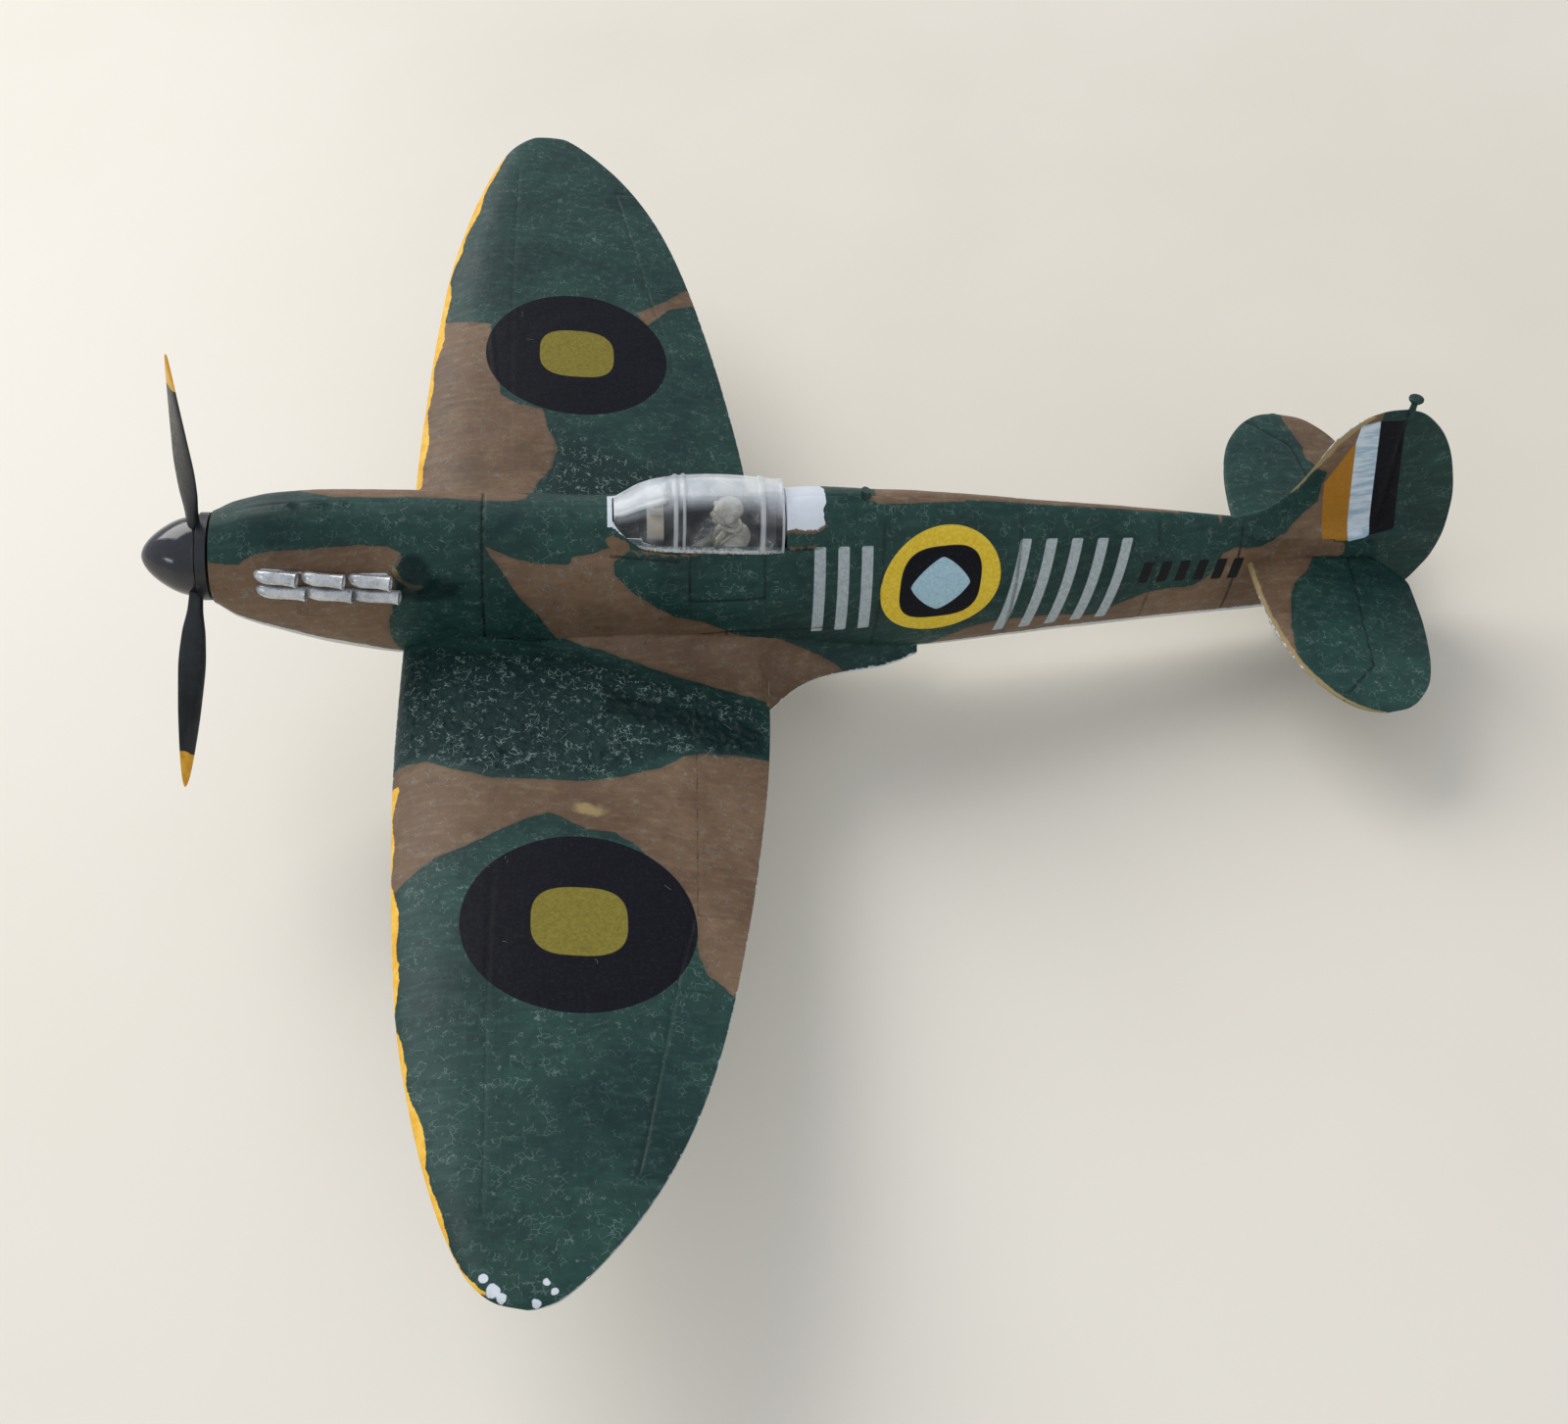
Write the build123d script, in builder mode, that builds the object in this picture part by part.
from build123d import *
import math
import os

# ---------------------------------------------------------------------------
# Display model of a single-seat, low-wing propeller fighter, 1:72 scale.
# All sizes are millimetres on the model itself.
#
# Aircraft axes: x runs aft from the tip of the spinner, y to starboard,
# z up from the propeller's thrust line.  The finished model stands on its two
# main wheels and its tail wheel, so every plane below is turned nose-up by the
# ground angle and lifted until the three tyres touch z = 0.
# ---------------------------------------------------------------------------

os.makedirs("parts", exist_ok=True)

SIDES = (("port", -1), ("starboard", 1))    # name and sign of y

WALL = 1.1                   # wall of the moulded fuselage shells
GAP = 0.03                   # clearance left between glued mouldings
RUN = 0.05                   # radial clearance of everything that turns
PRESS_FIT = 0.01             # radial clearance of the parts fixed to the shaft

# Lengths that reach past the whole model, for cutting blocks
FULL_X = (0, 130)
FULL_Y = (-12, 12)

# Wheels set the standing attitude
WHEEL_R, WHEEL_W = 4.2, 2.3
WHEEL_X, WHEEL_Y, WHEEL_Z = 29.0, 12.1, -21.75
TAIL_WHEEL_R = 1.7
TAIL_WHEEL_X, TAIL_WHEEL_Z = 114.2, -6.6

AXLE_RUN, AXLE_RISE = TAIL_WHEEL_X - WHEEL_X, TAIL_WHEEL_Z - WHEEL_Z
GROUND_ANGLE = (math.atan2(AXLE_RISE, AXLE_RUN)
                + math.asin((WHEEL_R - TAIL_WHEEL_R) / math.hypot(AXLE_RUN, AXLE_RISE)))
COS, SIN = math.cos(GROUND_ANGLE), math.sin(GROUND_ANGLE)
GROUND_X = -63.122           # puts the origin under the middle of the length
GROUND_Z = WHEEL_R + WHEEL_X * SIN - WHEEL_Z * COS


def turn(v):
    """Direction in aircraft axes, turned into the standing attitude."""
    return Vector(v[0] * COS + v[2] * SIN, v[1], -v[0] * SIN + v[2] * COS)


def aircraft(x=0.0, y=0.0, z=0.0, x_dir=(1, 0, 0), z_dir=(0, 0, 1)):
    """Work plane given in aircraft axes."""
    return Plane(origin=turn((x, y, z)) + Vector(GROUND_X, 0, GROUND_Z),
                 x_dir=turn(x_dir), z_dir=turn(z_dir))


def station(x):
    """Cross-section plane at x: local x is starboard, local y is up, normal aft."""
    return aircraft(x, 0, 0, (0, 1, 0), (1, 0, 0))


def profile(y):
    """Side-on plane at y: local x is aft, local y is up, normal to port."""
    return aircraft(0, y, 0, (1, 0, 0), (0, -1, 0))


def plan(z):
    """Plan plane at height z: local x is aft, local y is starboard."""
    return aircraft(0, 0, z)


def box(x0, x1, y0, y1, z0, z1, mode=Mode.ADD):
    """Block between two corners in aircraft axes."""
    with Locations(aircraft((x0 + x1) / 2, (y0 + y1) / 2, (z0 + z1) / 2)):
        Box(abs(x1 - x0), abs(y1 - y0), abs(z1 - z0), mode=mode)


def rod(start, end, radius, mode=Mode.ADD):
    """Round bar between two points in aircraft axes."""
    along = Vector(*end) - Vector(*start)
    across = (0, 1, 0) if abs(along.Y) < 0.9 * along.length else (1, 0, 0)
    with Locations(aircraft(*start, across, (along.X, along.Y, along.Z))):
        Cylinder(radius, along.length, align=(Align.CENTER, Align.CENTER, Align.MIN), mode=mode)


def interpolate(table, x, column):
    """Value of a column at x, held constant beyond the ends of the table."""
    for low, high in zip(table, table[1:]):
        if low[0] <= x <= high[0]:
            t = (x - low[0]) / (high[0] - low[0])
            return low[column] + t * (high[column] - low[column])
    return table[0][column] if x < table[0][0] else table[-1][column]


def save(part, name):
    part.label = name
    export_step(part, f"parts/{name}.step")


# ---------------------------------------------------------------------------
# Fuselage envelope
# ---------------------------------------------------------------------------
# x, half width, widest height, top, bottom, fullness above and below (2 is an ellipse)
SECTIONS = [
    (6.9, 4.3, 0.0, 4.45, -4.6, 2.0, 2.05),
    (9.0, 4.7, 0.2, 5.65, -6.4, 2.0, 2.3),
    (13.0, 5.05, 0.4, 6.7, -7.95, 2.05, 2.5),
    (18.0, 5.3, 0.3, 7.05, -9.6, 2.1, 2.6),
    (24.5, 5.55, -0.2, 7.1, -10.8, 2.1, 2.6),
    (32.6, 5.85, -1.2, 6.85, -11.1, 2.1, 2.4),
    (44.0, 6.25, -1.6, 6.75, -11.1, 2.0, 2.2),
    (55.0, 6.4, -1.6, 7.1, -11.1, 2.0, 2.1),
    (64.5, 6.05, -1.4, 8.6, -10.9, 1.9, 2.0),
    (75.0, 5.25, -0.8, 8.45, -10.3, 1.85, 2.0),
    (85.0, 4.25, -0.2, 7.85, -9.0, 1.85, 2.0),
    (95.0, 3.25, 0.2, 7.25, -7.6, 1.85, 2.0),
    (105.0, 2.35, 0.4, 6.4, -6.3, 1.85, 2.0),
    (115.0, 1.45, 0.6, 5.2, -4.9, 1.9, 2.0),
    (122.5, 0.85, 0.7, 4.2, -3.1, 1.95, 2.0),
]
SECTION_STEPS = 12           # intervals from the keel to the spine


def section_points(row, side, grow):
    """Half section from the keel to the spine, as (y, z)."""
    _, half_width, z_wide, z_top, z_bottom, full_above, full_below = row
    half_width, z_top, z_bottom = half_width + grow, z_top + grow, z_bottom - grow
    points = []
    for i in range(SECTION_STEPS + 1):
        angle = -math.pi / 2 + math.pi * i / SECTION_STEPS
        c, s = math.cos(angle), math.sin(angle)
        fullness = full_above if s >= 0 else full_below
        height = (z_top - z_wide) if s >= 0 else (z_wide - z_bottom)
        y = half_width * math.copysign(abs(c) ** (2 / fullness), c) * side
        z = z_wide + height * math.copysign(abs(s) ** (2 / fullness), s)
        if abs(c) < 1e-9:
            y = 0.0
        points.append((y, z))
    return points


def half_hull(rows, side, grow=0.0):
    """One half of the fuselage envelope, flat on the centre plane."""
    with BuildPart() as half:
        for row in rows:
            with BuildSketch(station(row[0])):
                with BuildLine():
                    points = section_points(row, side, grow)
                    Spline(*points)
                    Line(points[-1], points[0])
                make_face()
        loft()
    return half.part


def full_hull(rows, grow):
    with BuildPart() as hull:
        add(half_hull(rows, 1, grow))
        add(half_hull(rows, -1, grow))
    return hull.part


def clipped(x0, x1):
    """Fuselage sections cut to a length, with interpolated end sections."""
    def at(x):
        return (x,) + tuple(interpolate(SECTIONS, x, k) for k in range(1, 7))
    return [at(x0)] + [row for row in SECTIONS if x0 + 0.5 < row[0] < x1 - 0.5] + [at(x1)]


# Slightly grown envelope: trims every moulding that butts against the fuselage
hull_tool = full_hull(SECTIONS, GAP)
# Space inside the shells around the cockpit
bay_tool = full_hull(clipped(40.0, 66.0), -WALL - GAP)

# ---------------------------------------------------------------------------
# Fin and rudder, moulded in one with the fuselage halves
# ---------------------------------------------------------------------------
# x, z over the top and down the trailing edge
FIN_OUTLINE = [
    (103.0, 6.0), (105.6, 6.45), (108.5, 7.4), (110.6, 9.9), (111.9, 12.7), (113.1, 15.9),
    (114.7, 18.2), (116.7, 19.5), (119.5, 19.95), (121.9, 19.0), (124.0, 16.8), (125.8, 13.3),
    (127.1, 8.95), (127.5, 5.1), (127.2, 2.4), (126.3, 0.0), (125.2, -1.9), (123.0, -3.2),
]
FIN_FOOT = [(117.0, -3.9), (103.0, 0.0)]    # x, z of the corners inside the fuselage
FIN_BLANK_T = 1.6                           # thickness of the slab before shaping
FIN_THICKNESS = ((-4.5, 1.05), (20.5, 0.42))    # z, greatest half thickness
FIN_X0, FIN_X1 = 100.0, 129.0               # length of the shaping sections
FIN_EDGE_T = 0.18                           # half thickness of the shaping section at FIN_X1


def fin_half(side, grow=0.0):
    with BuildPart() as fin:
        with BuildSketch(profile(0)):
            with BuildLine():
                Spline(*FIN_OUTLINE)
                Polyline(FIN_OUTLINE[-1], *FIN_FOOT, FIN_OUTLINE[0])
            make_face()
        extrude(amount=-side * FIN_BLANK_T)
        for z, t in FIN_THICKNESS:
            with BuildSketch(plan(z)):
                with BuildLine():
                    rear = (FIN_X1, side * (FIN_EDGE_T + grow))
                    Spline((FIN_X0, 0.0), (104.0, side * t * 0.75), (112.0, side * (t + grow)),
                           (121.0, side * (t * 0.72 + grow)), rear)
                    Polyline(rear, (FIN_X1, 0.0), (FIN_X0, 0.0))
                make_face()
        loft(mode=Mode.INTERSECT)
    return fin.part


# ---------------------------------------------------------------------------
# Canopy
# ---------------------------------------------------------------------------
SILL_Z = 4.9
CANOPY_WALL = 0.55
CANOPY_FULLNESS = 2.15
CANOPY_STEPS = 12
# x, half width at the sill, top
CANOPY = [
    (44.6, 2.3, 6.95), (45.6, 3.05, 7.5), (47.2, 3.72, 8.5), (49.2, 4.08, 9.25),
    (51.5, 4.2, 9.65), (54.0, 4.25, 9.8), (57.0, 4.3, 9.6), (61.2, 4.32, 8.95),
]
# The hollow stays behind the front edge and runs out through the rear one
CANOPY_INSIDE = ([(CANOPY[0][0] + 0.9, 2.3, 7.0)]
                 + [row for row in CANOPY if 47 < row[0] < 61]
                 + [(CANOPY[-1][0] + 1.0, 4.33, 8.85)])


def canopy_envelope(grow=0.0, drop=0.0, rows=CANOPY):
    """Solid canopy shape, carried down below the sill by drop."""
    exponent = 2 / CANOPY_FULLNESS
    with BuildPart() as envelope:
        for x, width, top in rows:
            with BuildSketch(station(x)):
                with BuildLine():
                    half_width = width + grow
                    points = []
                    for i in range(CANOPY_STEPS + 1):
                        angle = math.pi * i / CANOPY_STEPS
                        c, s = math.cos(angle), max(math.sin(angle), 0.0)
                        points.append((half_width * math.copysign(abs(c) ** exponent, c),
                                       SILL_Z + (top + grow - SILL_Z) * s ** exponent))
                    points[0] = (half_width, SILL_Z)
                    points[-1] = (-half_width, SILL_Z)
                    Spline(*points)
                    if drop:
                        Polyline(points[-1], (-half_width, SILL_Z - drop),
                                 (half_width, SILL_Z - drop), points[0])
                    else:
                        Line(points[-1], points[0])
                make_face()
        loft()
    return envelope.part


canopy_tool = canopy_envelope(GAP)
canopy_skin = canopy_envelope()
canopy_hollow = canopy_envelope(-CANOPY_WALL, 0.4, CANOPY_INSIDE)
with BuildPart() as canopy:
    add(canopy_skin)
    add(canopy_hollow, mode=Mode.SUBTRACT)
save(canopy.part, "canopy")

# ---------------------------------------------------------------------------
# Fuselage halves
# ---------------------------------------------------------------------------
HOLLOW_X0, HOLLOW_X1 = 8.7, 103.0                   # nose bearing to solid tail
BELLY_X0, BELLY_X1, BELLY_Z = 24.3, 76.0, -9.0      # opening filled by the wing
COCKPIT_X0, COCKPIT_X1, COCKPIT_HALF = 47.4, 60.6, 3.35
EXHAUST_X0, EXHAUST_X1, EXHAUST_Z0, EXHAUST_Z1 = 11.2, 24.3, -0.35, 2.85
SHAFT_R = 0.95
MAST_X, MAST_R = 68.8, 0.5
TAIL_STRUT_X, TAIL_STRUT_R = 113.0, 0.62

PIN_SPOTS = [(14.0, 4.2), (40.0, 3.6), (76.0, 4.6), (96.0, 3.4)]    # x, z
PIN_R, PIN_SOCKET_R, PIN_BOSS_R = 0.6, 0.65, 1.15
PIN_BOSS_INSET = 0.9         # boss stops this far inside the widest line

POST_X = 119.6
POST_DISCS = ((19.3, 0.32, 1.9), (20.9, 0.65, 0.5))     # foot z, radius, height

BLISTER_X, BLISTER_Y, BLISTER_Z = 15.95, -4.7, -2.5
BLISTER_LENGTH, BLISTER_WIDTH, BLISTER_DEPTH = 3.3, 0.9, 0.75


def half_moulding(side):
    """Everything the two fuselage halves share."""
    envelope = half_hull(SECTIONS, side)
    hollow = half_hull(clipped(HOLLOW_X0, HOLLOW_X1), side, -WALL)
    fin = fin_half(side)
    with BuildPart() as half:
        add(envelope)
        add(hollow, mode=Mode.SUBTRACT)
        # bosses for the locating pins
        for x, z in PIN_SPOTS:
            boss_y = side * (interpolate(SECTIONS, x, 1) - PIN_BOSS_INSET)
            rod((x, 0, z), (x, boss_y, z), PIN_BOSS_R)
        add(fin)
        # aerial post at the head of the rudder, half on each side
        for z, radius, height in POST_DISCS:
            with BuildSketch(plan(z)):
                with Locations((POST_X, 0)):
                    Circle(radius)
            extrude(amount=height)
        # nose bearing for the propeller shaft
        rod((5.0, 0, 0), (10.0, 0, 0), SHAFT_R + RUN, mode=Mode.SUBTRACT)
        # wing opening
        box(BELLY_X0, BELLY_X1, -10, 10, -14, BELLY_Z, mode=Mode.SUBTRACT)
        # canopy seat and cockpit opening
        add(canopy_tool, mode=Mode.SUBTRACT)
        box(COCKPIT_X0, COCKPIT_X1, -COCKPIT_HALF, COCKPIT_HALF, 0, 10, mode=Mode.SUBTRACT)
        # slot for the exhaust stack
        box(EXHAUST_X0 - GAP, EXHAUST_X1 + GAP, side * 2.5, side * 8, EXHAUST_Z0 - GAP,
            EXHAUST_Z1 + GAP, mode=Mode.SUBTRACT)
        # holes for the aerial mast and the tail wheel strut
        rod((MAST_X, 0, 5.0), (MAST_X, 0, 12.0), MAST_R + GAP, mode=Mode.SUBTRACT)
        rod((TAIL_STRUT_X, 0, -9.0), (TAIL_STRUT_X, 0, -2.6), TAIL_STRUT_R + GAP,
            mode=Mode.SUBTRACT)
        # keep to one side of the centre plane
        box(*FULL_X, -side * 12, 0, -20, 25, mode=Mode.SUBTRACT)
    return half.part


half_blanks = {name: half_moulding(side) for name, side in SIDES}

with BuildPart() as fuselage_half_port:
    add(half_blanks["port"])
    # small cowling blister under the exhaust
    with BuildSketch(profile(BLISTER_Y)):
        with Locations((BLISTER_X, BLISTER_Z)):
            SlotOverall(BLISTER_LENGTH, BLISTER_WIDTH)
    extrude(amount=BLISTER_DEPTH, taper=20)
    # sockets for the locating pins
    for x, z in PIN_SPOTS:
        rod((x, 0.1, z), (x, -1.6, z), PIN_SOCKET_R, mode=Mode.SUBTRACT)
save(fuselage_half_port.part, "fuselage_half_port")

with BuildPart() as fuselage_half_starboard:
    add(half_blanks["starboard"])
    # locating pins
    for x, z in PIN_SPOTS:
        rod((x, 0.4, z), (x, -1.4, z), PIN_R)
save(fuselage_half_starboard.part, "fuselage_half_starboard")

# ---------------------------------------------------------------------------
# Wing skins
# ---------------------------------------------------------------------------
SPAN = 155.9                 # wing tip to wing tip
DIHEDRAL_SLOPE = math.tan(math.radians(6.0))
WING_REF_Z = -8.95           # chord plane of the wing at the centre line
WING_CAMBER = 0.02           # camber over chord
CAMBER_PEAK = 0.2            # chord fraction of the greatest camber
ROOT_THICKNESS = 0.13        # thickness over chord at the root
TIP_THICKNESS = 0.072        # thickness over chord at the tip
TE_HALF = 0.14               # half thickness of the moulded trailing edge

# Elliptical planform: y, leading edge x, trailing edge x
PLANFORM = [
    (3.0, 24.35, 60.2), (7.0, 24.35, 60.1), (12.0, 24.38, 59.9), (18.0, 24.45, 59.5),
    (26.0, 24.7, 58.6), (34.0, 25.15, 57.4), (42.0, 25.75, 55.9), (50.0, 26.55, 54.2),
    (57.0, 27.7, 52.3), (63.0, 29.0, 49.9), (68.0, 30.35, 47.4), (72.0, 31.8, 44.8),
    (75.0, 33.2, 42.3), (76.6, 34.5, 40.6), (77.5, 35.9, 39.6), (77.95, 37.3, 38.6),
]
# Chord fractions of the skin points, crowded towards both edges
WING_U = [0.5 * (1 - math.cos(math.pi * i / 11)) for i in range(12)]

# Hollow under the upper skin: y, first and last chord fraction
HOLLOW = [(9.0, 0.10, 0.80), (26.0, 0.10, 0.80), (42.0, 0.11, 0.78), (56.0, 0.13, 0.75),
          (64.0, 0.16, 0.72)]
HOLLOW_STEPS = 8
UPPER_SKIN = 1.0             # height of skin left above the hollow
HOLLOW_MIN = 0.12            # least height of the hollow above the chord plane


def wing_z(y):
    """Height of the chord plane."""
    return WING_REF_Z + abs(y) * DIHEDRAL_SLOPE


def camber(u):
    """Height of the camber line over chord."""
    m, p = WING_CAMBER, CAMBER_PEAK
    if u < p:
        return m / p ** 2 * (2 * p * u - u * u)
    return m / (1 - p) ** 2 * ((1 - 2 * p) + 2 * p * u - u * u)


def thickness(u, t):
    """Half thickness over chord of a four-digit aerofoil."""
    return 5 * t * (0.2969 * math.sqrt(u) - 0.126 * u - 0.3516 * u ** 2
                    + 0.2843 * u ** 3 - 0.1036 * u ** 4)


def wing_surface(y, u, upper):
    """x and z of a point on the wing skin at station y, chord fraction u."""
    leading, trailing = interpolate(PLANFORM, abs(y), 1), interpolate(PLANFORM, abs(y), 2)
    chord = trailing - leading
    t = ROOT_THICKNESS + (TIP_THICKNESS - ROOT_THICKNESS) * abs(y) / (SPAN / 2)
    sign = 1 if upper else -1
    half = thickness(u, t) * chord + TE_HALF * min(1.0, u * 8)
    return leading + u * chord, wing_z(y) + (camber(u) * chord + sign * half)


def wing_panel(side, upper, lift=0.0):
    """Upper or lower half of one wing, flat on the chord plane."""
    with BuildPart() as panel:
        for y, leading, _ in PLANFORM:
            z_ref = wing_z(y) + lift
            points = [(leading, z_ref)] + [wing_surface(y, u, upper) for u in WING_U[1:]]
            with BuildSketch(profile(side * y)):
                with BuildLine():
                    Spline(*points)
                    Polyline(points[-1], (points[-1][0], z_ref), points[0])
                make_face()
        loft()
    return panel.part


def wing_hollow(side):
    with BuildPart() as hollow:
        for y, u0, u1 in HOLLOW:
            points = []
            for i in range(HOLLOW_STEPS + 1):
                x, z = wing_surface(y, u0 + (u1 - u0) * i / HOLLOW_STEPS, True)
                points.append((x, max(z - UPPER_SKIN, wing_z(y) + HOLLOW_MIN)))
            floor = wing_z(y) - 0.5
            with BuildSketch(profile(side * y)):
                with BuildLine():
                    Spline(*points)
                    Polyline(points[-1], (points[-1][0], floor), (points[0][0], floor),
                             points[0])
                make_face()
        loft()
    return hollow.part


def above_wing(side, y0, y1, top, drop=0.0):
    """Outline in a station plane from the chord plane, less drop, up to top."""
    inner, outer = (side * y0, wing_z(y0) - drop), (side * y1, wing_z(y1) - drop)
    return [inner, outer, (side * y1, top), (side * y0, top), inner]


for name, side in SIDES:
    skin, void = wing_panel(side, True, GAP / 2), wing_hollow(side)
    with BuildPart() as wing_upper:
        add(skin)
        add(void, mode=Mode.SUBTRACT)
        add(hull_tool, mode=Mode.SUBTRACT)
    save(wing_upper.part, f"wing_upper_{name}")

# ---------------------------------------------------------------------------
# Lower wing: both lower skins in one piece with the belly
# ---------------------------------------------------------------------------
WELL_X, WELL_Y, WELL_R = 35.2, 25.6, 4.9
# Trough for the leg: x, y
TROUGH = [(31.6, 10.6), (33.6, 10.6), (37.2, 22.5), (33.4, 22.5), (31.6, 10.6)]
# Flat pad under the wing centre section
PAD_X0, PAD_X1, PAD_HALF, PAD_Z = 47.0, 57.0, 2.4, -10.85
# Trailing fairing of the wing root: x, y
FAIRING = [(57.5, 14.0), (60.0, 11.7), (61.8, 9.5), (64.7, 7.5), (68.0, 6.3), (72.0, 5.35),
           (75.9, 3.4)]
FAIRING_Z, FAIRING_HEIGHT = -10.5, 2.6
TRIM_X0 = 20.0               # ahead of the leading edge

# Leg line, from just under the wing to the axle
LEG_TOP_X, LEG_TOP_Y, LEG_TOP_Z = 32.6, 9.0, -9.3
LEG_Y_LOW = 10.05
LEG_R = 0.68


def leg_low(side):
    return (WHEEL_X, side * LEG_Y_LOW, WHEEL_Z)


# fuselage shells above the wing opening, and beyond its ends
with BuildPart() as hull_above_wing_tool:
    add(hull_tool)
    box(*FULL_X, *FULL_Y, -20, BELLY_Z - GAP, mode=Mode.SUBTRACT)
with BuildPart() as hull_ends_tool:
    add(hull_tool)
    box(BELLY_X0 + GAP, BELLY_X1 - GAP, *FULL_Y, -20, 20, mode=Mode.SUBTRACT)

belly = full_hull(clipped(BELLY_X0 + GAP, BELLY_X1 - GAP), 0.0)
under_port, under_starboard = wing_panel(-1, False), wing_panel(1, False)

with BuildPart() as wing_lower:
    # belly between the wings carries on the fuselage's bottom line
    add(belly)
    box(*FULL_X, *FULL_Y, BELLY_Z - GAP, 20, mode=Mode.SUBTRACT)
    add(under_port)
    add(under_starboard)
    for side in (1, -1):
        fairing = [(x, side * y) for x, y in FAIRING]
        with BuildSketch(plan(FAIRING_Z)):
            with BuildLine():
                Spline(*fairing)
                Polyline(fairing[-1], (fairing[-1][0], 0), (fairing[0][0], 0), fairing[0])
            make_face()
        extrude(amount=FAIRING_HEIGHT)
    add(hull_above_wing_tool.part, mode=Mode.SUBTRACT)
    add(hull_ends_tool.part, mode=Mode.SUBTRACT)
    # upper wings rest on the chord plane: trim the fairing clear of them
    for side in (1, -1):
        with BuildSketch(station(TRIM_X0)):
            with BuildLine():
                Polyline(*above_wing(side, 2.0, 20.0, 0.0))
            make_face()
        extrude(amount=PLANFORM[0][2] - TRIM_X0 + 0.1, mode=Mode.SUBTRACT)
    # wheel wells, troughs and sockets for the legs
    for side in (1, -1):
        rod((WELL_X, side * WELL_Y, -20), (WELL_X, side * WELL_Y, 0), WELL_R, mode=Mode.SUBTRACT)
        with BuildSketch(plan(-20)):
            with BuildLine():
                Polyline(*[(x, side * y) for x, y in TROUGH])
            make_face()
        extrude(amount=20, mode=Mode.SUBTRACT)
        rod((LEG_TOP_X + 0.35, side * (LEG_TOP_Y - 0.12), LEG_TOP_Z + 1.2), leg_low(side),
            LEG_R + GAP, mode=Mode.SUBTRACT)
    box(PAD_X0, PAD_X1, -PAD_HALF, PAD_HALF, -14, PAD_Z, mode=Mode.SUBTRACT)
save(wing_lower.part, "wing_lower")

# ---------------------------------------------------------------------------
# Tailplanes
# ---------------------------------------------------------------------------
TAIL_Z = 1.9
TAIL_BLANK_T = 3.0                              # thickness of the slab before shaping
TAIL_THICKNESS = ((0.0, 0.95), (23.0, 0.42))    # y, greatest half thickness
TAIL_X0, TAIL_X1 = 104.0, 126.0                 # length of the shaping sections
TAIL_EDGE_X0, TAIL_EDGE_X1 = 0.05, 0.14         # their half thickness at the two ends
# x, y
TAIL_OUTLINE = [
    (107.6, 0.6), (107.7, 6.0), (108.0, 9.5), (108.5, 12.5), (109.6, 16.2), (111.6, 19.6),
    (113.8, 21.5), (116.0, 22.15), (118.2, 21.8), (120.3, 20.2), (121.9, 17.7), (122.9, 14.0),
    (123.5, 9.0), (123.6, 5.0), (122.4, 2.6), (120.5, 0.6),
]


def tailplane_plate(side):
    with BuildPart() as plate:
        with BuildSketch(plan(TAIL_Z - TAIL_BLANK_T / 2)):
            with BuildLine():
                outline = [(x, side * y) for x, y in TAIL_OUTLINE]
                Spline(*outline)
                Line(outline[-1], outline[0])
            make_face()
        extrude(amount=TAIL_BLANK_T)
        for y, t in TAIL_THICKNESS:
            with BuildSketch(profile(side * y)):
                with BuildLine():
                    heights = [(TAIL_X0, TAIL_EDGE_X0), (108.0, 0.75 * t), (113.0, t),
                               (119.0, 0.7 * t), (TAIL_X1, TAIL_EDGE_X1)]
                    Spline(*[(x, TAIL_Z + h) for x, h in heights])
                    Spline(*[(x, TAIL_Z - h) for x, h in heights])
                    for x, h in (heights[0], heights[-1]):
                        Line((x, TAIL_Z + h), (x, TAIL_Z - h))
                make_face()
        loft(mode=Mode.INTERSECT)
    return plate.part


for name, side in SIDES:
    plate, fin_clear = tailplane_plate(side), fin_half(side, GAP)
    with BuildPart() as tailplane:
        add(plate)
        add(hull_tool, mode=Mode.SUBTRACT)
        add(fin_clear, mode=Mode.SUBTRACT)
    save(tailplane.part, f"tailplane_{name}")

# ---------------------------------------------------------------------------
# Propeller unit: blades and disc in one moulding, spinner cap, shaft, collar
# ---------------------------------------------------------------------------
BLADES = 3
PROP_FIRST_BLADE = 86.6      # degrees from starboard towards up
DISC_R, DISC_X0, DISC_X1 = 4.22, 5.6, 6.7
PROP_X = (DISC_X0 + DISC_X1) / 2
# radius, chord, thickness, pitch in degrees
BLADE = [(3.2, 1.3, 1.15, 62), (5.2, 1.5, 0.95, 58), (8.0, 2.5, 0.70, 50),
         (11.5, 3.1, 0.55, 42), (15.0, 2.95, 0.46, 35), (18.5, 2.35, 0.38, 30),
         (21.2, 1.45, 0.32, 27), (22.72, 0.4, 0.24, 26)]
# x, radius
SPINNER = [(0.0, 0.0), (0.18, 0.72), (0.5, 1.28), (1.0, 1.85), (1.7, 2.45), (2.4, 2.93),
           (3.2, 3.37), (4.0, 3.67), (4.8, 3.85), (5.57, 3.93)]
SPINNER_BORE_R, SPINNER_BORE_DEPTH, SPINNER_BORE_TAPER = 3.3, 3.4, 14
SHAFT_HEAD_R = 1.9
COLLAR_X, COLLAR_R, COLLAR_T = 8.78, 2.2, 1.2
thrust_line = Axis(aircraft(0, 0, 0).origin, turn((1, 0, 0)))

with BuildPart() as blade:
    for radius, chord, thick, pitch in BLADE:
        # local x is tangential, local y is forward, the blade points up
        with BuildSketch(aircraft(PROP_X, 0, radius, (0, 1, 0), (0, 0, 1))):
            Ellipse(chord / 2, thick / 2, rotation=pitch)
    loft()

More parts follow.
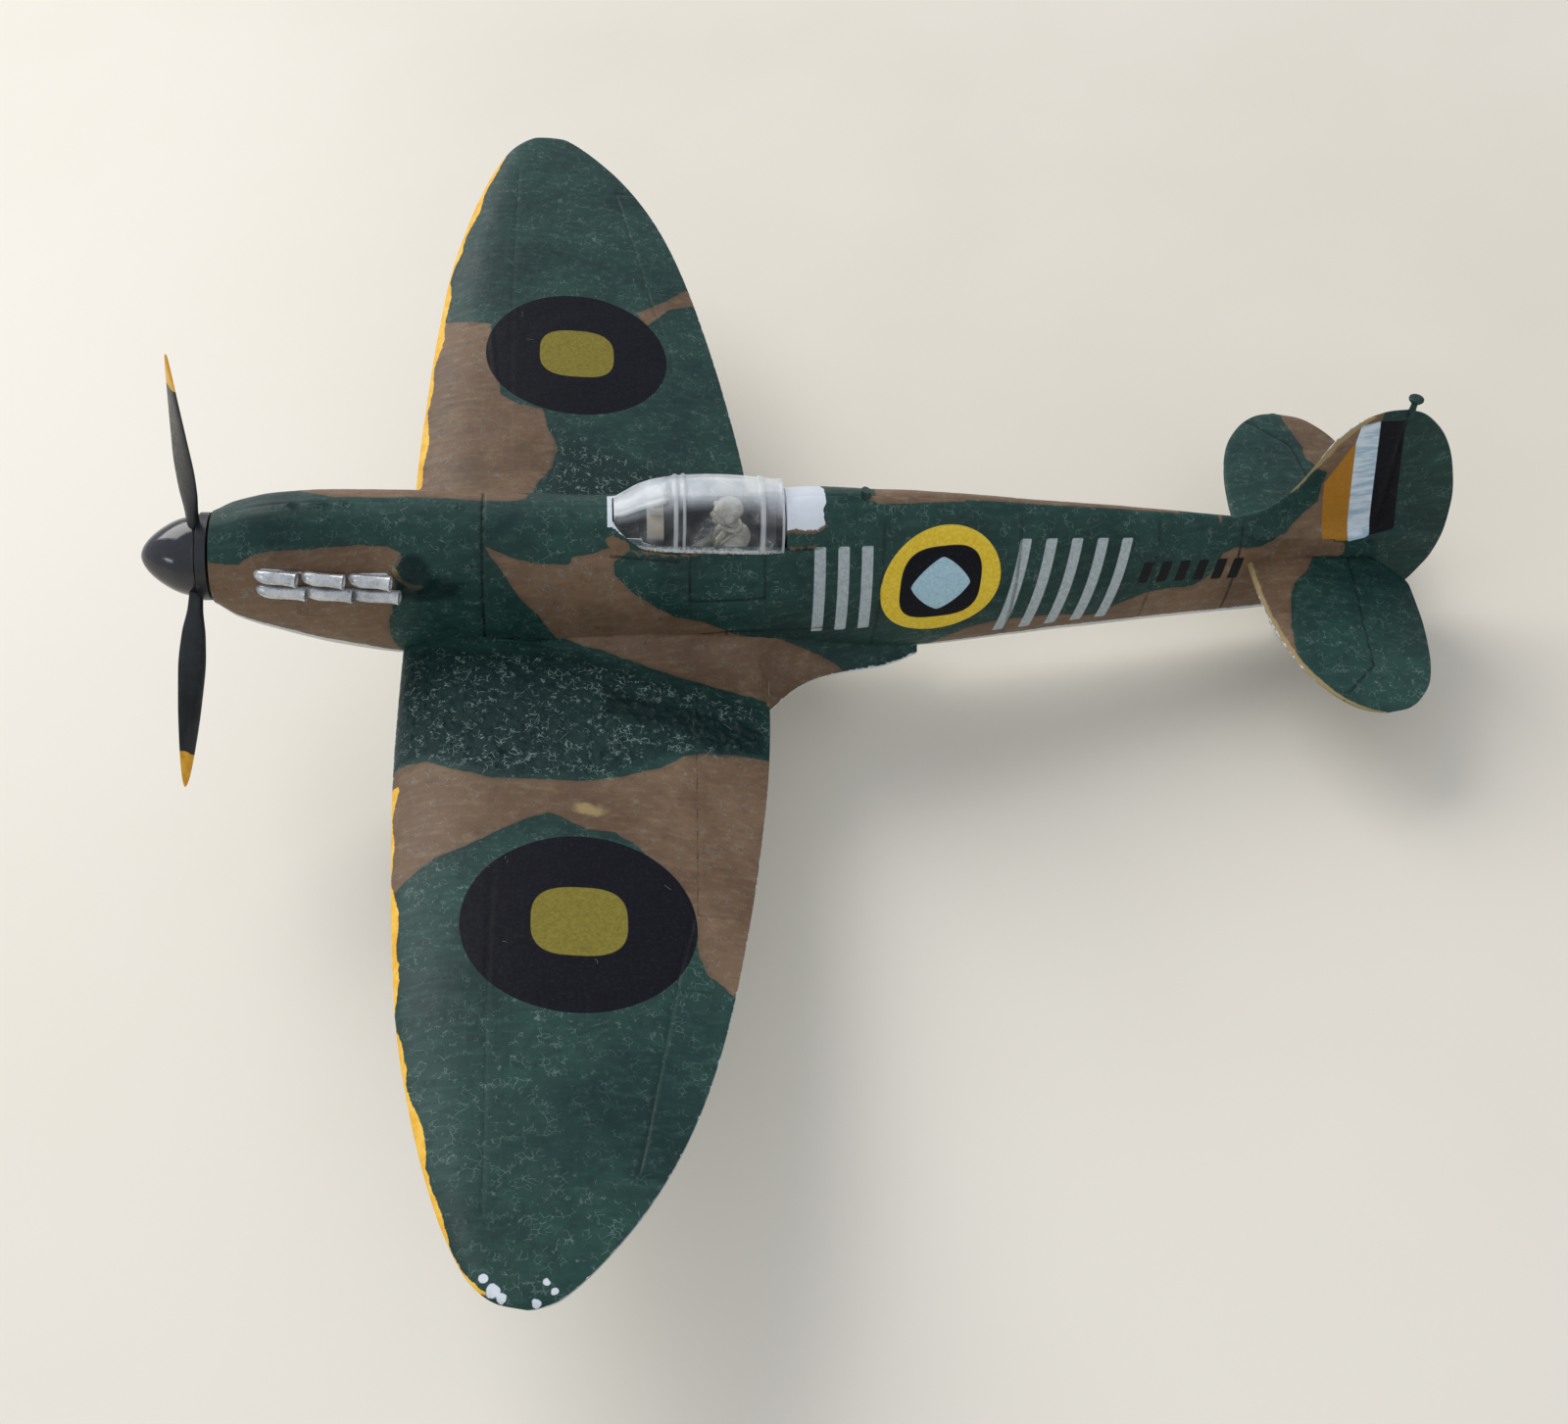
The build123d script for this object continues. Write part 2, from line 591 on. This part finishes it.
with BuildPart() as propeller:
    with BuildSketch(station(DISC_X0)):
        Circle(DISC_R)
    extrude(amount=DISC_X1 - DISC_X0)
    for k in range(BLADES):
        add(blade.part.rotate(thrust_line, PROP_FIRST_BLADE - 90 + 360 / BLADES * k))
    with BuildSketch(station(DISC_X0 - 0.1)):
        Circle(SHAFT_R + PRESS_FIT)
    extrude(amount=DISC_X1 - DISC_X0 + 0.2, mode=Mode.SUBTRACT)
save(propeller.part, "propeller")

with BuildPart() as spinner:
    with BuildSketch(profile(0)):
        with BuildLine():
            Spline(*SPINNER)
            Polyline(SPINNER[-1], (SPINNER[-1][0], 0), (0, 0))
        make_face()
    revolve(axis=thrust_line)
    with BuildSketch(station(SPINNER[-1][0])):
        Circle(SPINNER_BORE_R)
    extrude(amount=-SPINNER_BORE_DEPTH, taper=SPINNER_BORE_TAPER, mode=Mode.SUBTRACT)
    # notches round the blade roots
    add(propeller.part, mode=Mode.SUBTRACT)
save(spinner.part, "spinner")

with BuildPart() as propeller_shaft:
    rod((4.6, 0, 0), (5.55, 0, 0), SHAFT_HEAD_R)
    rod((5.5, 0, 0), (11.2, 0, 0), SHAFT_R)
save(propeller_shaft.part, "propeller_shaft")

with BuildPart() as shaft_collar:
    rod((COLLAR_X, 0, 0), (COLLAR_X + COLLAR_T, 0, 0), COLLAR_R)
    rod((8.7, 0, 0), (10.2, 0, 0), SHAFT_R + PRESS_FIT, mode=Mode.SUBTRACT)
save(shaft_collar.part, "shaft_collar")

# ---------------------------------------------------------------------------
# Exhaust stacks: a strip set in the cowling slot with three double outlets
# ---------------------------------------------------------------------------
EXHAUST_PITCH = 4.4
# Strip seen from above: x, y
EXHAUST_STRIP = [(EXHAUST_X0, 3.75), (EXHAUST_X1, 4.35), (EXHAUST_X1, 5.52),
                 (EXHAUST_X0, 4.92), (EXHAUST_X0, 3.75)]
EXHAUST_PIPES = ((2.15, 0.0), (0.4, 0.75))      # z, extra length of the pipe
ELBOW_R, PIPE_R, PIPE_BORE_R = 0.68, 0.72, 0.45


def exhaust_stack(side):
    with BuildPart() as stack:
        with BuildSketch(plan(EXHAUST_Z0)):
            with BuildLine():
                Polyline(*[(x, side * y) for x, y in EXHAUST_STRIP])
            make_face()
        extrude(amount=EXHAUST_Z1 - EXHAUST_Z0)
        for k in range(3):
            x = EXHAUST_X0 + 0.35 + EXHAUST_PITCH * k
            y = 5.35 + 0.19 * k
            for z, extra in EXHAUST_PIPES:
                # elbow out of the strip, pipe running aft, bore in its end
                rod((x, side * (y - 0.9), z - 0.1), (x + 1.3, side * y, z), ELBOW_R)
                rod((x + 0.9, side * (y - 0.1), z),
                    (x + 3.55 + extra, side * (y + 0.42), z + 0.05), PIPE_R)
                rod((x + 2.6 + extra, side * (y + 0.28), z + 0.03),
                    (x + 3.9 + extra, side * (y + 0.47), z + 0.05), PIPE_BORE_R,
                    mode=Mode.SUBTRACT)
    return stack.part


for name, side in SIDES:
    with BuildPart() as trimmed_stack:
        add(exhaust_stack(side))
        add(half_blanks[name], mode=Mode.SUBTRACT)
    save(trimmed_stack.part, f"exhaust_stack_{name}")

# ---------------------------------------------------------------------------
# Cockpit: floor, seat frame, seat, panel, sight, column and pilot
# ---------------------------------------------------------------------------
FLOOR_Z0, FLOOR_Z1 = -4.6, -3.8
ON_FLOOR_Z = FLOOR_Z1 + 0.02     # foot of the pieces that stand on the floor
FRAME_X0, FRAME_X1 = 59.4, 60.2
PANEL_X0, PANEL_X1 = 47.9, 48.7
BAY_HALF = 8                     # wider than the cockpit bay
# Head armour: y, z
ARMOUR = [(-2.9, 2.0), (2.9, 2.0), (2.9, 5.0), (1.9, 6.6), (0.9, 7.6), (-0.9, 7.6),
          (-1.9, 6.6), (-2.9, 5.0), (-2.9, 2.0)]

with BuildPart() as cockpit_floor:
    box(46.0, 62.0, -BAY_HALF, BAY_HALF, FLOOR_Z0, FLOOR_Z1)
    add(bay_tool, mode=Mode.INTERSECT)
save(cockpit_floor.part, "cockpit_floor")

with BuildPart() as seat_frame:
    # bulkhead behind the seat, with the head armour standing above the sill
    box(FRAME_X0, FRAME_X1, -BAY_HALF, BAY_HALF, ON_FLOOR_Z, SILL_Z - 0.6)
    add(bay_tool, mode=Mode.INTERSECT)
    with BuildSketch(station(FRAME_X0)):
        with BuildLine():
            Polyline(*ARMOUR)
        make_face()
    extrude(amount=FRAME_X1 - FRAME_X0)
save(seat_frame.part, "seat_frame")

# Bucket seat
SEAT_X0, SEAT_HALF, SEAT_INNER_HALF, SEAT_PAN_Z = 53.6, 2.3, 1.8, -2.6
# x, z of the sides and back, and of the space between the sides
SEAT_SIDE = [(SEAT_X0, SEAT_PAN_Z), (58.3, SEAT_PAN_Z), (59.35, 2.2), (58.7, 2.2),
             (57.8, -0.4), (54.2, -1.3), (SEAT_X0, SEAT_PAN_Z)]
SEAT_SPACE = [(53.4, -1.9), (57.4, -1.9), (58.6, 2.6), (53.4, 2.6), (53.4, -1.9)]

with BuildPart() as seat:
    box(SEAT_X0, 58.6, -SEAT_HALF, SEAT_HALF, ON_FLOOR_Z, SEAT_PAN_Z)
    with BuildSketch(profile(SEAT_HALF)):
        with BuildLine():
            Polyline(*SEAT_SIDE)
        make_face()
    extrude(amount=2 * SEAT_HALF)
    with BuildSketch(profile(SEAT_INNER_HALF)):
        with BuildLine():
            Polyline(*SEAT_SPACE)
        make_face()
    extrude(amount=2 * SEAT_INNER_HALF, mode=Mode.SUBTRACT)
save(seat.part, "seat")

DIAL_R, DIAL_DEPTH = 0.62, 0.12
DIAL_SPOTS = [(y, z) for z in (2.7, 0.9) for y in (-1.7, 0.0, 1.7)]
COAMING_LENGTH = 1.6
# y, z over the top
COAMING = [(2.7, SILL_Z - 0.6), (2.3, SILL_Z + 0.7), (0.0, SILL_Z + 1.5),
           (-2.3, SILL_Z + 0.7), (-2.7, SILL_Z - 0.6)]

with BuildPart() as instrument_panel:
    box(PANEL_X0, PANEL_X1, -BAY_HALF, BAY_HALF, -1.5, SILL_Z - 0.3)
    add(bay_tool, mode=Mode.INTERSECT)
    with BuildSketch(station(PANEL_X1)):
        with Locations(*DIAL_SPOTS):
            Circle(DIAL_R)
    extrude(amount=-DIAL_DEPTH, mode=Mode.SUBTRACT)
    # coaming above the panel
    with BuildSketch(station(PANEL_X0)):
        with BuildLine():
            Spline(*COAMING)
            Line(COAMING[-1], COAMING[0])
        make_face()
    extrude(amount=COAMING_LENGTH)
save(instrument_panel.part, "instrument_panel")

SIGHT_X, SIGHT_LENS_R, SIGHT_GLASS_HALF = 48.9, 0.42, 0.45
# Sloping glass: x, height above the sill
SIGHT_GLASS = [(48.75, 2.45), (48.95, 2.45), (49.5, 3.2), (49.3, 3.2), (48.75, 2.45)]

with BuildPart() as gunsight:
    box(48.2, 49.4, -0.6, 0.6, SILL_Z + 1.42, SILL_Z + 2.1)
    rod((SIGHT_X, 0, SILL_Z + 2.0), (SIGHT_X, 0, SILL_Z + 2.5), SIGHT_LENS_R)
    with BuildSketch(profile(SIGHT_GLASS_HALF)):
        with BuildLine():
            Polyline(*[(x, SILL_Z + height) for x, height in SIGHT_GLASS])
        make_face()
    extrude(amount=2 * SIGHT_GLASS_HALF)
    add(instrument_panel.part, mode=Mode.SUBTRACT)
save(gunsight.part, "gunsight")

COLUMN_X, COLUMN_FOOT_R, COLUMN_R = 51.0, 0.8, 0.28
GRIP_X, GRIP_Z, GRIP_R, GRIP_HOLE_R, GRIP_T = 51.25, 0.35, 0.75, 0.42, 0.4

with BuildPart() as control_column:
    rod((COLUMN_X, 0, ON_FLOOR_Z), (COLUMN_X, 0, FLOOR_Z1 + 0.5), COLUMN_FOOT_R)
    rod((COLUMN_X, 0, FLOOR_Z1), (51.4, 0, -0.1), COLUMN_R)
    # ring grip
    with BuildSketch(station(GRIP_X)):
        with Locations((0, GRIP_Z)):
            Circle(GRIP_R)
            Circle(GRIP_HOLE_R, mode=Mode.SUBTRACT)
    extrude(amount=GRIP_T)
save(control_column.part, "control_column")

# Torso sections: z, x, half depth, half width
TORSO = [(-1.6, 56.1, 1.25, 1.6), (1.0, 56.4, 1.3, 1.9), (3.2, 56.6, 1.2, 2.45),
         (4.4, 56.5, 0.7, 1.1)]
NECK_R, HEAD_R = 0.75, 1.42
# Upper arm, forearm, thigh and shin, starboard: start, end, radius
LIMBS = [
    ((56.5, 2.2, 3.0), (54.6, 2.45, 0.4), 0.62),
    ((54.6, 2.45, 0.4), (52.3, 0.85, 0.35), 0.5),
    ((56.0, 0.9, -0.9), (52.3, 1.3, -0.6), 0.8),
    ((52.5, 1.3, -0.7), (51.9, 1.55, -3.7), 0.6),
]

with BuildPart() as pilot_figure:
    for z, x, half_depth, half_width in TORSO:
        with BuildSketch(plan(z)):
            with Locations((x, 0)):
                Ellipse(half_depth, half_width)
    loft()
    rod((56.3, 0, 4.0), (55.9, 0, 5.6), NECK_R)
    with Locations(aircraft(55.7, 0, 6.55)):
        Sphere(HEAD_R)
    for side in (1, -1):
        for (x0, y0, z0), (x1, y1, z1), radius in LIMBS:
            rod((x0, side * y0, z0), (x1, side * y1, z1), radius)
    add(seat.part, mode=Mode.SUBTRACT)
    add(control_column.part, mode=Mode.SUBTRACT)
save(pilot_figure.part, "pilot_figure")

# ---------------------------------------------------------------------------
# Mouldings under the wing, and the aerial mast
# ---------------------------------------------------------------------------
DUCT_Y0, DUCT_Y1, DUCT_WALL = 25.4, 33.4, 0.7
DUCT_IN_Y0, DUCT_IN_Y1, DUCT_IN_Z = DUCT_Y0 + DUCT_WALL, DUCT_Y1 - DUCT_WALL, -9.0
# x, z
DUCT_SIDE = [(41.2, -5.0), (53.4, -5.0), (54.6, -9.6), (44.0, -9.75), (41.2, -8.3),
             (41.2, -5.0)]
MATRIX_X0, MATRIX_X1, MATRIX_FIT = 46.6, 47.8, 0.02
COOLER_X, COOLER_Y, COOLER_Z = 42.0, -29.0, -6.9
COOLER_R, COOLER_BORE_R, COOLER_LENGTH = 2.0, 1.4, 9.5
# Block that trims the ducts off above the wing's lower skin
TOP_TRIM_X0, TOP_TRIM_LENGTH = 36.0, 24.0
TOP_TRIM_Y0, TOP_TRIM_Y1, TOP_TRIM_Z = 20.0, 40.0, 8.0

with BuildPart() as radiator_housing:
    # open-ended duct under the starboard wing
    with BuildSketch(profile(DUCT_Y0)):
        with BuildLine():
            Polyline(*DUCT_SIDE)
        make_face()
    extrude(amount=DUCT_Y0 - DUCT_Y1)
    box(40, 56, DUCT_IN_Y0, DUCT_IN_Y1, DUCT_IN_Z, -4.0, mode=Mode.SUBTRACT)
    add(under_starboard, mode=Mode.SUBTRACT)
    with BuildSketch(station(TOP_TRIM_X0)):
        with BuildLine():
            Polyline(*above_wing(1, TOP_TRIM_Y0, TOP_TRIM_Y1, TOP_TRIM_Z, 0.02))
        make_face()
    extrude(amount=TOP_TRIM_LENGTH, mode=Mode.SUBTRACT)
save(radiator_housing.part, "radiator_housing")

with BuildPart() as radiator_matrix:
    box(MATRIX_X0, MATRIX_X1, DUCT_IN_Y0 + MATRIX_FIT, DUCT_IN_Y1 - MATRIX_FIT,
        DUCT_IN_Z + MATRIX_FIT, -7.0)
    # grid of shallow pockets in the front face
    with BuildSketch(aircraft(MATRIX_X0, (DUCT_Y0 + DUCT_Y1) / 2, -8.0, (0, 1, 0), (1, 0, 0))):
        with GridLocations(0.8, 0.62, 8, 3):
            Rectangle(0.5, 0.34)
    extrude(amount=0.3, mode=Mode.SUBTRACT)
    add(under_starboard, mode=Mode.SUBTRACT)
save(radiator_matrix.part, "radiator_matrix")

with BuildPart() as oil_cooler_housing:
    # small half-round duct under the port wing
    with BuildSketch(station(COOLER_X)):
        with Locations((COOLER_Y, COOLER_Z)):
            Circle(COOLER_R)
            Circle(COOLER_BORE_R, mode=Mode.SUBTRACT)
    extrude(amount=COOLER_LENGTH)
    add(under_port, mode=Mode.SUBTRACT)
    with BuildSketch(station(TOP_TRIM_X0)):
        with BuildLine():
            Polyline(*above_wing(-1, TOP_TRIM_Y0, TOP_TRIM_Y1, TOP_TRIM_Z, 0.7))
        make_face()
    extrude(amount=TOP_TRIM_LENGTH, mode=Mode.SUBTRACT)
save(oil_cooler_housing.part, "oil_cooler_housing")

INTAKE_HALF, INTAKE_MOUTH_HALF = 1.3, 0.9
# x, z
INTAKE_SIDE = [(32.4, -10.4), (40.5, -10.4), (40.5, -11.3), (36.0, -12.6), (32.4, -12.9),
               (32.4, -10.4)]

with BuildPart() as carburettor_intake:
    with BuildSketch(profile(INTAKE_HALF)):
        with BuildLine():
            Polyline(*INTAKE_SIDE)
        make_face()
    extrude(amount=2 * INTAKE_HALF)
    box(32.0, 36.5, -INTAKE_MOUTH_HALF, INTAKE_MOUTH_HALF, -12.5, -11.45, mode=Mode.SUBTRACT)
    add(hull_tool, mode=Mode.SUBTRACT)
save(carburettor_intake.part, "carburettor_intake")

PITOT_X, PITOT_Y, PITOT_DROP = 36.5, -56.0, 1.9
PITOT_STEM_R, PITOT_TUBE_R = 0.3, 0.26


def under_wing(y, x):
    """Height of the lower wing skin."""
    leading, trailing = interpolate(PLANFORM, abs(y), 1), interpolate(PLANFORM, abs(y), 2)
    return wing_surface(y, (x - leading) / (trailing - leading), False)[1]


with BuildPart() as pitot_tube:
    skin_z = under_wing(PITOT_Y, PITOT_X)
    tube_z = skin_z - PITOT_DROP
    rod((PITOT_X, PITOT_Y, skin_z - 0.02), (35.9, PITOT_Y, tube_z), PITOT_STEM_R)
    rod((32.2, PITOT_Y, tube_z), (36.3, PITOT_Y, tube_z), PITOT_TUBE_R)
    add(under_port, mode=Mode.SUBTRACT)
save(pitot_tube.part, "pitot_tube")

MAST_Z0, MAST_Z1 = 6.6, 9.35

with BuildPart() as aerial_mast_stub:
    # foot of the aerial mast, snapped off at a slant just above the spine
    rod((MAST_X, 0, MAST_Z0), (MAST_X, 0, MAST_Z1), MAST_R)
    with BuildSketch(aircraft(MAST_X, 0, MAST_Z1, (1, 0, 0), (0.35, 0.1, 1))):
        Rectangle(4, 4)
    extrude(amount=2, mode=Mode.SUBTRACT)
save(aerial_mast_stub.part, "aerial_mast_stub")

# ---------------------------------------------------------------------------
# Undercarriage
# ---------------------------------------------------------------------------
AXLE_R, AXLE_FLARE_R = 0.60, 0.92
LEG_BALL_R, LINK_R = 0.78, 0.24
COVER_Y, COVER_T, COVER_SLOPE = 7.0, 0.5, 0.085
# x, height along the sloping cover
COVER = [(30.6, -10.9), (34.4, -10.9), (33.6, -15.6), (32.7, -19.2), (31.4, -21.2),
         (28.4, -22.3), (26.6, -21.4), (27.2, -19.0), (29.3, -15.6), (30.6, -10.9)]


def leg(side):
    low = leg_low(side)
    face = WHEEL_Y + WHEEL_W / 2
    with BuildPart() as strut:
        rod((LEG_TOP_X + 0.30, side * (LEG_TOP_Y - 0.10), LEG_TOP_Z + 1.0), low, LEG_R)
        # ball where the leg meets the axle
        with Locations(aircraft(*low)):
            Sphere(LEG_BALL_R)
        # axle with a flared end that keeps the wheel on
        rod(low, (WHEEL_X, side * (face + 0.35), WHEEL_Z), AXLE_R)
        rod((WHEEL_X, side * (face + 0.08), WHEEL_Z), (WHEEL_X, side * (face + 0.4), WHEEL_Z),
            AXLE_FLARE_R)
        # torque link, coming out of the aft side of the leg
        link_x = LEG_TOP_X - 1.9
        rod((link_x, side * (LEG_TOP_Y + 0.55), -15.8), (link_x, side * 9.8, -18.4), LINK_R)
    return strut.part


def leg_cover_plate(side):
    """Fairing plate on the inboard side of the leg, its foot leaning outboard."""
    with BuildPart() as plate:
        with BuildSketch(aircraft(0, side * COVER_Y, 0, (1, 0, 0),
                                  (0, -1, COVER_SLOPE * -side))):
            with BuildLine():
                Polyline(*COVER)
            make_face()
        extrude(amount=-side * COVER_T)
    return plate.part


for name, side in SIDES:
    with BuildPart() as undercarriage_leg:
        add(leg(side))
        add(wing_lower.part, mode=Mode.SUBTRACT)
    save(undercarriage_leg.part, f"undercarriage_leg_{name}")

    with BuildPart() as leg_cover:
        add(leg_cover_plate(side))
        add(undercarriage_leg.part, mode=Mode.SUBTRACT)
    save(leg_cover.part, f"leg_cover_{name}")

HUB_R, HUB_DISH_R = 1.2, 2.55
TYRE_INNER_R = 2.75
TYRE_SHOULDERS = ((3.5, 0.95), (4.02, 0.55))    # radius, fraction of the half width


def wheel(side):
    """Tyre and hub in one moulding, turned about its axle."""
    w = WHEEL_W / 2
    bore = AXLE_R + RUN
    low_side = [(TYRE_INNER_R, -w)] + [(r, -part * w) for r, part in TYRE_SHOULDERS]
    high_side = [(r, -y) for r, y in reversed(low_side)]
    with BuildPart() as tyre:
        with BuildSketch(aircraft(WHEEL_X, side * WHEEL_Y, WHEEL_Z, (1, 0, 0), (0, 0, 1))):
            # local x is the radius, local y runs along the axle
            with BuildLine():
                Spline(*low_side, (WHEEL_R, 0), *high_side)
                Polyline((TYRE_INNER_R, w), (HUB_DISH_R, 0.72 * w), (HUB_R, 0.82 * w),
                         (HUB_R, w), (bore, w), (bore, -w), (HUB_R, -w), (HUB_R, -0.82 * w),
                         (HUB_DISH_R, -0.72 * w), (TYRE_INNER_R, -w))
            make_face()
        revolve(axis=Axis(aircraft(WHEEL_X, 0, WHEEL_Z).origin, (0, 1, 0)))
    return tyre.part


for name, side in SIDES:
    save(wheel(side), f"wheel_{name}")

TAIL_FORK_R = 0.5
TAIL_DISCS = ((TAIL_WHEEL_R, 0.55), (0.7, 0.85))    # tyre and hub: radius, half width

with BuildPart() as tail_wheel:
    # strut, fork and wheel are one small moulding with a peg into the fuselage
    rod((TAIL_STRUT_X, 0, -2.7), (TAIL_STRUT_X, 0, -5.2), TAIL_STRUT_R)
    rod((TAIL_STRUT_X, 0, -5.0), (TAIL_WHEEL_X, 0, TAIL_WHEEL_Z), TAIL_FORK_R)
    box(113.6, 114.6, -0.85, 0.85, -6.9, -5.6)
    for radius, half_width in TAIL_DISCS:
        with BuildSketch(aircraft(TAIL_WHEEL_X, half_width, TAIL_WHEEL_Z, (1, 0, 0),
                                  (0, -1, 0))):
            Circle(radius)
        extrude(amount=2 * half_width)
    add(fuselage_half_port.part, mode=Mode.SUBTRACT)
    add(fuselage_half_starboard.part, mode=Mode.SUBTRACT)
save(tail_wheel.part, "tail_wheel")
